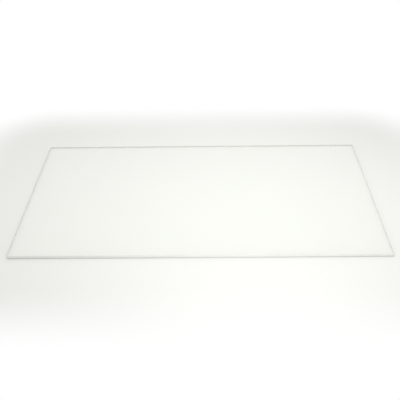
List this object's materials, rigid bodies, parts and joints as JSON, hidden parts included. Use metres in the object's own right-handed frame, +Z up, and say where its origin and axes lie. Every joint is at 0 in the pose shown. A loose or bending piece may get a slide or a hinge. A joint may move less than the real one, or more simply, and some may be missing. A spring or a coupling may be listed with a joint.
{
  "type": "refrigerator glass shelf",
  "caption": "Flat rectangular pane of clear toughened glass with a rounded ground edge and eased corners, a bare shelf that rests on the side ribs of a refrigerator.",
  "frame": {"origin": "middle of the underside, on the surface that the pane lies on", "axes": "+X along the long front edge to the right, +Y from the front edge to the back edge, +Z up out of the top face"},
  "size_m": [0.475, 0.285, 0.004],
  "materials": {
    "clear_glass": "polished"
  },
  "bodies": {
    "root": {"glass_pane": "clear_glass"}
  },
  "joints": []
}
